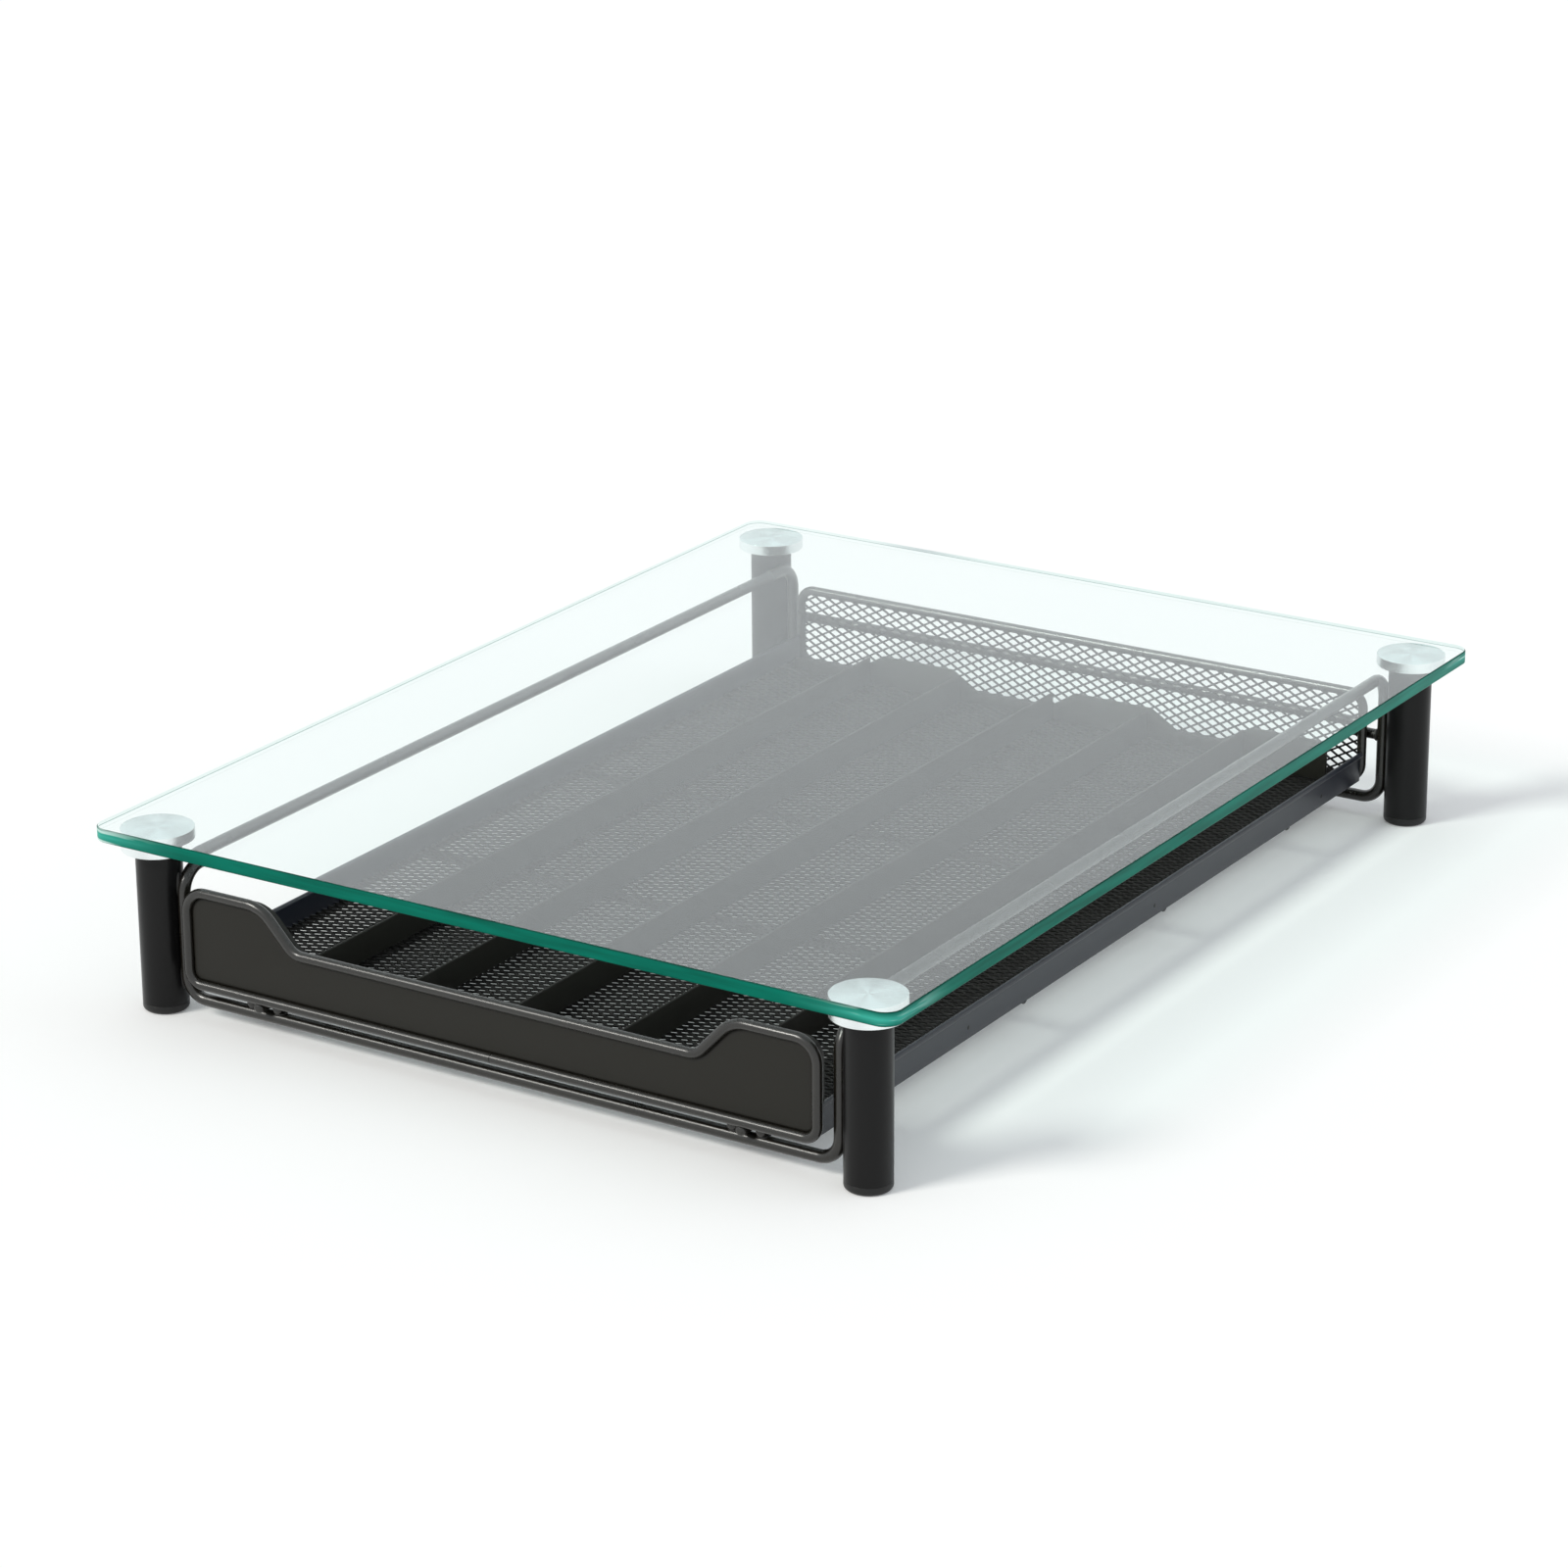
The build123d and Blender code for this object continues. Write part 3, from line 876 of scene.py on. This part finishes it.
@dataclass
class WireStand:
    """The bent wires that join the posts, and the runners that carry the drawer."""

    palette: Palette
    cross_bend: float = 8.0 * MM
    rail_bend: float = 9.0 * MM
    runner_dome: float = 1.3 * MM
    bead_reach: float = 1.25
    bead_levels: tuple[float, ...] = (0.45, 1.55)
    bead_shape: Point = (0.5, 0.55, 2.2)

    def build(self) -> None:
        """Make the cross wires, rails, mid bar and runners, and the beads where they are welded."""
        self.welds = Former()
        for end in End:
            self.cross_wire(end)
        for side in Side:
            self.top_rail(side)
            for place in ("inner", "outer"):
                self.runner(side, place)
        self.mid_bar()
        self.welds.finish("stand_welds", Body.STAND, Slot.WIRE, [self.palette.weld])

    def wire(
        self, node: str, path: Sequence[Point], radius: float, bend: float = 0.0, ease: float = 0.0
    ) -> None:
        """Make one wire of the stand."""
        wire_piece(self.palette, Body.STAND, node, f"{node}_bent", path, radius, bend, ease)

    def cross_wire(self, end: End) -> None:
        """Bend the low cross wire of one end up into its two uprights, welded to the posts."""
        node = f"{end.word}_cross_wire"
        low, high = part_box(node)
        radius, y = (high.y - low.y) / 2, (high.y + low.y) / 2
        left, right, base = low.x + radius, high.x - radius, low.z + radius
        path = [(left, y, high.z), (left, y, base), (right, y, base), (right, y, high.z)]
        self.wire(node, path, radius, self.cross_bend)
        for side in Side:
            touch = side.value * high.x
            for level in self.bead_levels:
                self.welds.bead((touch, y, level * high.z), Vector(self.bead_shape) * radius)

    def top_rail(self, side: Side) -> None:
        """Bend the rail of one side down at both ends."""
        node = f"{side.word}_top_rail"
        low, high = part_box(node)
        radius, x = (high.x - low.x) / 2, (high.x + low.x) / 2
        near, far, top = low.y + radius, high.y - radius, high.z - radius
        path = [(x, near, low.z), (x, near, top), (x, far, top), (x, far, low.z)]
        self.wire(node, path, radius, self.rail_bend)

    def runner(self, side: Side, place: str) -> None:
        """Lay one runner across both cross wires, with its ends rounded over."""
        node = f"{side.word}_{place}_runner"
        start, stop, radius = rod_line(node)
        self.wire(node, [start, stop], radius, ease=self.runner_dome)
        reach = self.bead_reach * radius
        for end in End:
            wire_low, wire_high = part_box(f"{end.word}_cross_wire")
            touch = (start.x, (wire_low.y + wire_high.y) / 2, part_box(node)[0].z)
            self.welds.bead(touch, (reach, reach, 0.45 * radius))

    def mid_bar(self) -> None:
        """Lay the bar between the rear uprights."""
        *ends, radius = rod_line("rear_mid_bar")
        self.wire("rear_mid_bar", ends, radius)
        reach = self.bead_reach * radius
        for tip in ends:
            self.welds.bead(tip, (0.5 * radius, reach, reach))


# ---------------------------------------------------------------------------
# Drawer
# ---------------------------------------------------------------------------


@dataclass
class DrawerFront:
    """The scooped front: a bent rod with a sheet panel inside it."""

    palette: Palette
    foot_bend: float = 5.0 * MM
    shoulder_bend: float = 8.0 * MM
    crest_bend: float = 13.0 * MM
    dip_bend: float = 7.5 * MM
    shoulder_width: float = 32.0 * MM
    scoop_slope: float = 13.65 * MM
    scoop_depth: float = 14.5 * MM
    butt_gap: float = 0.2 * MM
    sheet: float = 1.0 * MM
    fold: float = 1.7 * MM
    fold_steps: int = 8
    into_rod: float = 0.65 * MM
    set_back: float = 0.7 * MM
    bend_steps: int = 10

    def build(self) -> None:
        """Make the rim and the panel."""
        low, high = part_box("front_rim")
        self.rod_radius = (high.y - low.y) / 2
        self.y = (high.y + low.y) / 2
        side_x = high.x - self.rod_radius
        base, shoulder = low.z + self.rod_radius, high.z - self.rod_radius
        crest_x = side_x - self.shoulder_width
        dip_x, dip = crest_x - self.scoop_slope, shoulder - self.scoop_depth
        right = [(side_x, base), (side_x, shoulder), (crest_x, shoulder), (dip_x, dip)]
        self.corners = right + [(-x, z) for x, z in reversed(right)]
        half = [self.foot_bend, self.shoulder_bend, self.crest_bend, self.dip_bend]
        self.bends = half + half[::-1]
        self.rim()
        self.panel()

    def rim(self) -> None:
        """Bend the rim, with its butt joint under the middle."""
        base = self.corners[0][1]
        path = [(self.butt_gap / 2, base), *self.corners, (-self.butt_gap / 2, base)]
        former = Former()
        former.rod([(x, self.y, z) for x, z in path], self.rod_radius, self.bends, steps=self.bend_steps)
        former.finish("front_rim_bent", Body.DRAWER, Slot.WIRE, [self.palette.wire], ["front_rim"])

    def panel(self) -> None:
        """Press the panel to the rim's inner outline and turn its edge back."""
        low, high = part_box("front_panel")
        former = Former()
        bm = former.bm
        corners = [Vector((x, low.y + self.set_back, z)) for x, z in self.corners]
        face = former.outline(corners)
        marks = list(face.verts)
        for index, (mark, curve) in enumerate(zip(marks, self.bends)):
            heading = corners[index] - corners[index - 1]
            turned = corners[(index + 1) % len(corners)] - corners[index]
            bmesh.ops.bevel(
                bm,
                geom=[mark],
                offset=curve * math.tan(heading.angle(turned) / 2),
                offset_type="OFFSET",
                segments=self.bend_steps,
                profile=0.5,
                affect="VERTICES",
                material=-1,
            )
        ring = bmesh.ops.inset_region(
            bm,
            faces=list(bm.faces),
            thickness=self.rod_radius - self.into_rod,
            use_even_offset=True,
            use_boundary=True,
        )["faces"]
        bmesh.ops.delete(bm, geom=ring, context="FACES")
        folded = [edge for edge in bm.edges if edge.is_boundary]
        former.grow(folded, Vector((0.0, high.y - low.y - self.set_back, 0.0)))
        bmesh.ops.recalc_face_normals(bm, faces=bm.faces)
        former.soften(folded, self.fold, self.fold_steps)
        if min(bm.faces, key=lambda f: f.calc_center_median().y).normal.y > 0:
            bmesh.ops.reverse_faces(bm, faces=bm.faces)
        former.thicken(self.sheet)
        former.finish("front_panel_pressed", Body.DRAWER, Slot.SHEET, [self.palette.sheet], ["front_panel"])


@dataclass
class DrawerBasket:
    """The rear rim, the mesh floor and back, the side strips and the wires under the floor."""

    palette: Palette
    mesh: DiamondMesh = field(default_factory=DiamondMesh)
    bend: float = 6.0 * MM
    butt_gap: float = 0.2 * MM
    sheet: float = 0.8 * MM
    roll: float = 1.0 * MM
    roll_turn: float = math.radians(290)
    roll_steps: int = 14
    into_rod: float = 0.4 * MM
    foot_ease: float = 0.25 * MM
    guide_dome: float = 1.2 * MM
    spot: float = 0.8 * MM
    spot_height: float = 4.0 * MM
    spots: tuple[float, ...] = (-104 * MM, 26 * MM, 157 * MM)
    bead: float = 1.3 * MM

    def build(self) -> None:
        """Make every piece of the basket, and the beads where its wires are welded."""
        self.welds = Former()
        self.rear_rim()
        self.rear_mesh()
        self.floor_mesh()
        for side in Side:
            self.side_strip(side)
            self.long_wire(f"{side.word}_guide_wire")
        for number in range(1, 5):
            self.floor_wire(number)
        self.welds.finish("drawer_welds", Body.DRAWER, Slot.WIRE, [self.palette.weld])

    def rear_rim(self) -> None:
        """Bend the rear rim, with its butt joint under the middle."""
        low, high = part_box("rear_rim")
        radius, y = (high.y - low.y) / 2, (high.y + low.y) / 2
        x, base, top, gap = high.x - radius, low.z + radius, high.z - radius, self.butt_gap / 2
        path = [(gap, y, base), (x, y, base), (x, y, top), (-x, y, top), (-x, y, base), (-gap, y, base)]
        wire_piece(self.palette, Body.DRAWER, "rear_rim", "rear_rim_bent", path, radius, self.bend)

    def rear_mesh(self) -> None:
        """Stand the rear mesh in its rim."""
        low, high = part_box("rear_mesh")
        former = Former()
        self.mesh.spread(former, high.x - low.x + 2 * self.into_rod, high.z - low.z + 2 * self.into_rod)
        bmesh.ops.rotate(former.bm, verts=former.bm.verts, matrix=Matrix.Rotation(math.radians(90), 3, "X"))
        bmesh.ops.translate(former.bm, verts=former.bm.verts, vec=(low + high) / 2)
        former.finish("rear_mesh_fine", Body.DRAWER, Slot.MESH, [self.palette.mesh], ["rear_mesh"], 60.0)

    def floor_mesh(self) -> None:
        """Lay the mesh floor."""
        low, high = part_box("floor_mesh")
        former = Former()
        self.mesh.spread(former, high.x - low.x, high.y - low.y)
        bmesh.ops.translate(former.bm, verts=former.bm.verts, vec=(low + high) / 2)
        former.finish("floor_mesh_fine", Body.DRAWER, Slot.MESH, [self.palette.mesh], ["floor_mesh"], 60.0)

    def side_strip(self, side: Side) -> None:
        """Roll the top edge of one side strip outwards.

        Args:
            side: Which strip.
        """
        node = f"{side.word}_side_strip"
        low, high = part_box(node)
        sign = side.value
        inner = low.x if sign > 0 else high.x
        former = Former()
        bm = former.bm
        foot = bmesh.ops.create_vert(bm, co=(inner, low.y, low.z))["vert"][0]
        lip = bmesh.ops.extrude_vert_indiv(bm, verts=[foot])["verts"][0]
        lip.co.z = high.z - self.roll
        bmesh.ops.spin(
            bm,
            geom=[lip],
            cent=(inner + sign * self.roll, low.y, lip.co.z),
            axis=(0.0, sign, 0.0),
            dvec=(0.0, 0.0, 0.0),
            angle=self.roll_turn,
            steps=self.roll_steps,
            use_duplicate=False,
        )
        former.grow(list(bm.edges), Vector((0.0, high.y - low.y, 0.0)))
        bmesh.ops.recalc_face_normals(bm, faces=bm.faces)
        web = min(bm.faces, key=lambda f: f.calc_center_median().z)
        if web.normal.x * sign > 0:
            bmesh.ops.reverse_faces(bm, faces=bm.faces)
        former.thicken(self.sheet)
        foot_edges = [e for e in bm.edges if all(abs(v.co.z - low.z) < TOUCHING for v in e.verts)]
        former.soften(foot_edges, self.foot_ease, 3)
        former.finish(f"{node}_rolled", Body.DRAWER, Slot.SHEET, [self.palette.strip], [node])
        outer = inner + sign * self.sheet
        for y in self.spots:
            self.welds.bead((outer, y, low.z + self.spot_height), (0.15 * MM, self.spot, self.spot))

    def long_wire(self, node: str) -> None:
        """Lay one guide wire front to back under the drawer, with its ends rounded over."""
        *ends, radius = rod_line(node)
        wire_piece(self.palette, Body.DRAWER, node, f"{node}_cut", ends, radius, ease=self.guide_dome)
        x, top = ends[0].x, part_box(node)[1].z
        for end in End:
            rim_low, rim_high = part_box(f"{end.word}_rim")
            y = (rim_low.y + rim_high.y) / 2
            self.welds.bead((x, y, top), (self.bead, self.bead, 0.5 * self.bead))
            self.welds.bead((x + 0.8 * self.bead, y, top), (self.bead, 0.8 * self.bead, 0.4 * self.bead))

    def floor_wire(self, number: int) -> None:
        """Lay one cross wire under the floor."""
        node = f"floor_wire_{number}"
        *ends, radius = rod_line(node)
        wire_piece(self.palette, Body.DRAWER, node, f"{node}_cut", ends, radius, ease=0.2 * radius)
        for tip in ends:
            self.welds.bead(tip, (0.4 * self.bead, self.bead, self.bead))


@dataclass
class Lanes:
    """The dividers between the lanes and the stop plate behind them."""

    palette: Palette
    lane_count: int = 6
    divider_ease: float = 0.4 * MM
    plate_ease: float = 0.2 * MM
    plate_low: float = 22.0 * MM
    tab_slope: float = 12.0 * MM
    tabs: tuple[tuple[float, float], ...] = ((-77 * MM, -45 * MM), (10 * MM, 43.5 * MM), (87 * MM, 117 * MM))

    def build(self) -> None:
        """Make the dividers and the stop plate."""
        for number in range(1, self.lane_count):
            node = f"lane_divider_{number}"
            low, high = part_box(node)
            former = Former()
            former.box(low, high)
            upper = [e for e in former.bm.edges if min(v.co.z for v in e.verts) > low.z]
            former.soften(upper, self.divider_ease, 3)
            former.finish(f"{node}_eased", Body.DRAWER, Slot.SHEET, [self.palette.sheet], [node])
        self.stop_plate()

    def stop_plate(self) -> None:
        """Cut the stop plate, which rises in a tab behind every second lane."""
        node = "rear_stop_plate"
        low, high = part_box(node)
        outline = [(low.x, low.z), (low.x, self.plate_low)]
        for left, right in self.tabs:
            outline += [(left - self.tab_slope, self.plate_low), (left, high.z)]
            if right + self.tab_slope < high.x:
                outline += [(right, high.z), (right + self.tab_slope, self.plate_low)]
        outline += [(high.x, high.z), (high.x, low.z)]
        former = Former()
        face = former.outline([(x, low.y, z) for x, z in outline])
        made = bmesh.ops.extrude_face_region(former.bm, geom=[face], use_keep_orig=True)["geom"]
        verts = [g for g in made if isinstance(g, bmesh.types.BMVert)]
        bmesh.ops.translate(former.bm, verts=verts, vec=(0.0, high.y - low.y, 0.0))
        bmesh.ops.recalc_face_normals(former.bm, faces=former.bm.faces)
        rims = [e for e in former.bm.edges if abs(e.verts[0].co.y - e.verts[1].co.y) < TOUCHING]
        former.soften(rims, self.plate_ease, 2)
        former.finish(f"{node}_cut", Body.DRAWER, Slot.SHEET, [self.palette.sheet], [node])


def dress_plain_nodes(palette: Palette) -> None:
    """Give the CAD nodes that are shown as they are their own finishes.

    Args:
        palette: The finishes.
    """
    finishes = {"disc_studs": palette.stud}
    for side in Side:
        finishes[f"{side.word}_stop_hook"] = palette.sheet
    for node, material in finishes.items():
        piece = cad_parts[node]
        if not piece.material_slots:
            piece.data.materials.append(material)
        for slot in piece.material_slots:
            slot.link = "OBJECT"
            slot.material = material


# ---------------------------------------------------------------------------
# Stage
# ---------------------------------------------------------------------------


@dataclass(frozen=True)
class SoftLamp:
    """A wide lamp, far away. Where it isn't mirrored, shiny surfaces don't show its disc."""

    name: str
    comes_from: Point
    spread: float
    strength: float
    colour: Colour
    mirrored: bool = True

    def build(self) -> None:
        """Hang the lamp, aimed at the object."""
        data = bpy.data.lights.new(self.name, "SUN")
        data.angle = self.spread
        data.energy = self.strength
        data.color = self.colour
        lamp = bpy.data.objects.new(self.name, data)
        lamp.rotation_mode = "QUATERNION"
        lamp.rotation_quaternion = Vector(self.comes_from).to_track_quat("Z", "Y")
        lamp.visible_glossy = self.mirrored
        bpy.context.scene.collection.objects.link(lamp)


@dataclass
class Stage:
    """The white floor, the soft light and the camera."""

    camera_place: Point = (0.8865, -1.4127, 0.6560)
    yaw: float = math.radians(32.477)
    pitch: float = math.radians(20.018)
    roll: float = math.radians(-0.376)
    lens: float = 113.35
    floor_size: float = 12.0
    floor_shade: float = 0.92
    floor_lift: float = 0.12
    diffuse_sky: float = 0.60
    seen_sky: float = 1.0
    sky_colour: Colour = (0.94, 0.975, 1.0)
    lamps: tuple[SoftLamp, ...] = (
        SoftLamp("key_lamp", (-0.40, -0.68, 0.62), math.radians(18), 1.9, (1.0, 0.98, 0.92)),
        SoftLamp("side_lamp", (0.80, 0.45, 0.40), math.radians(50), 0.35, (0.80, 0.88, 1.0), mirrored=False),
    )

    def build(self) -> None:
        """Make the floor, world, lamps and camera."""
        self.floor()
        self.sky()
        for lamp in self.lamps:
            lamp.build()
        self.camera()
        bpy.context.scene.view_settings.view_transform = "Standard"

    def floor(self) -> None:
        """Lay a plain pale floor, lifted to white with the shadow kept, and seen from above only."""
        bm = bmesh.new()
        bmesh.ops.create_grid(bm, x_segments=1, y_segments=1, size=self.floor_size / 2)
        mesh = bpy.data.meshes.new("floor")
        bm.to_mesh(mesh)
        bm.free()
        floor = bpy.data.objects.new("floor", mesh)
        bpy.context.scene.collection.objects.link(floor)
        material, g, shader, output = blank_material("white_floor")
        shade = (self.floor_shade, self.floor_shade, self.floor_shade, 1.0)
        g.feed(shader, {"Base Color": shade, "Roughness": 0.9, "Specular IOR Level": 0.1})
        rays = g.node("ShaderNodeLightPath").outputs
        mirrored = g.math("MAXIMUM", rays["Is Glossy Ray"], rays["Is Transmission Ray"])
        lift = g.math("MULTIPLY", g.math("MAXIMUM", rays["Is Camera Ray"], mirrored), self.floor_lift)
        glow = g.node("ShaderNodeEmission", {"Color": (1.0, 1.0, 1.0, 1.0), "Strength": lift})
        both = g.node("ShaderNodeAddShader", {0: shader.outputs[0], 1: glow.outputs[0]})
        behind = g.node("ShaderNodeNewGeometry").outputs["Backfacing"]
        below = g.math("MULTIPLY", behind, rays["Is Camera Ray"])
        clear = g.node("ShaderNodeBsdfTransparent")
        shown = g.node("ShaderNodeMixShader", {0: below, 1: both.outputs[0], 2: clear.outputs[0]})
        g.feed(output, {"Surface": shown.outputs[0]})
        mesh.materials.append(material)

    def sky(self) -> None:
        """Surround the scene with even white light, brighter where it is mirrored than where it lights."""
        world = bpy.data.worlds.new("white_room")
        bpy.context.scene.world = world
        world.use_nodes = True
        world.node_tree.nodes.clear()
        g = Graph(world.node_tree)
        rays = g.node("ShaderNodeLightPath").outputs
        strength = g.spread(rays["Is Diffuse Ray"], self.seen_sky, self.diffuse_sky)
        room = g.node("ShaderNodeBackground", {"Color": (*self.sky_colour, 1.0), "Strength": strength})
        g.node("ShaderNodeOutputWorld", {"Surface": room.outputs[0]})

    def camera(self) -> None:
        """Set up the camera as solved from the edges of the glass, the posts and the lanes."""
        data = bpy.data.cameras.new("camera")
        data.lens = self.lens
        data.sensor_width = 36.0
        data.clip_end = 50.0
        camera = bpy.data.objects.new("camera", data)
        bpy.context.scene.collection.objects.link(camera)
        bpy.context.scene.camera = camera
        aim = Matrix.Rotation(self.yaw, 4, "Z") @ Matrix.Rotation(math.radians(90) - self.pitch, 4, "X")
        camera.matrix_world = Matrix.Translation(self.camera_place) @ aim @ Matrix.Rotation(self.roll, 4, "Z")


def main() -> None:
    """Build the classes in order and report each piece."""
    logging.basicConfig(level=logging.INFO, format="%(message)s")
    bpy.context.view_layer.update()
    palette = Palette(Effects())
    GlassShelf(palette).build()
    for end in End:
        for side in Side:
            CornerPost(palette, end, side).build()
    WireStand(palette).build()
    DrawerFront(palette).build()
    DrawerBasket(palette).build()
    Lanes(palette).build()
    dress_plain_nodes(palette)
    Stage().build()


if __name__ == "__main__":
    main()
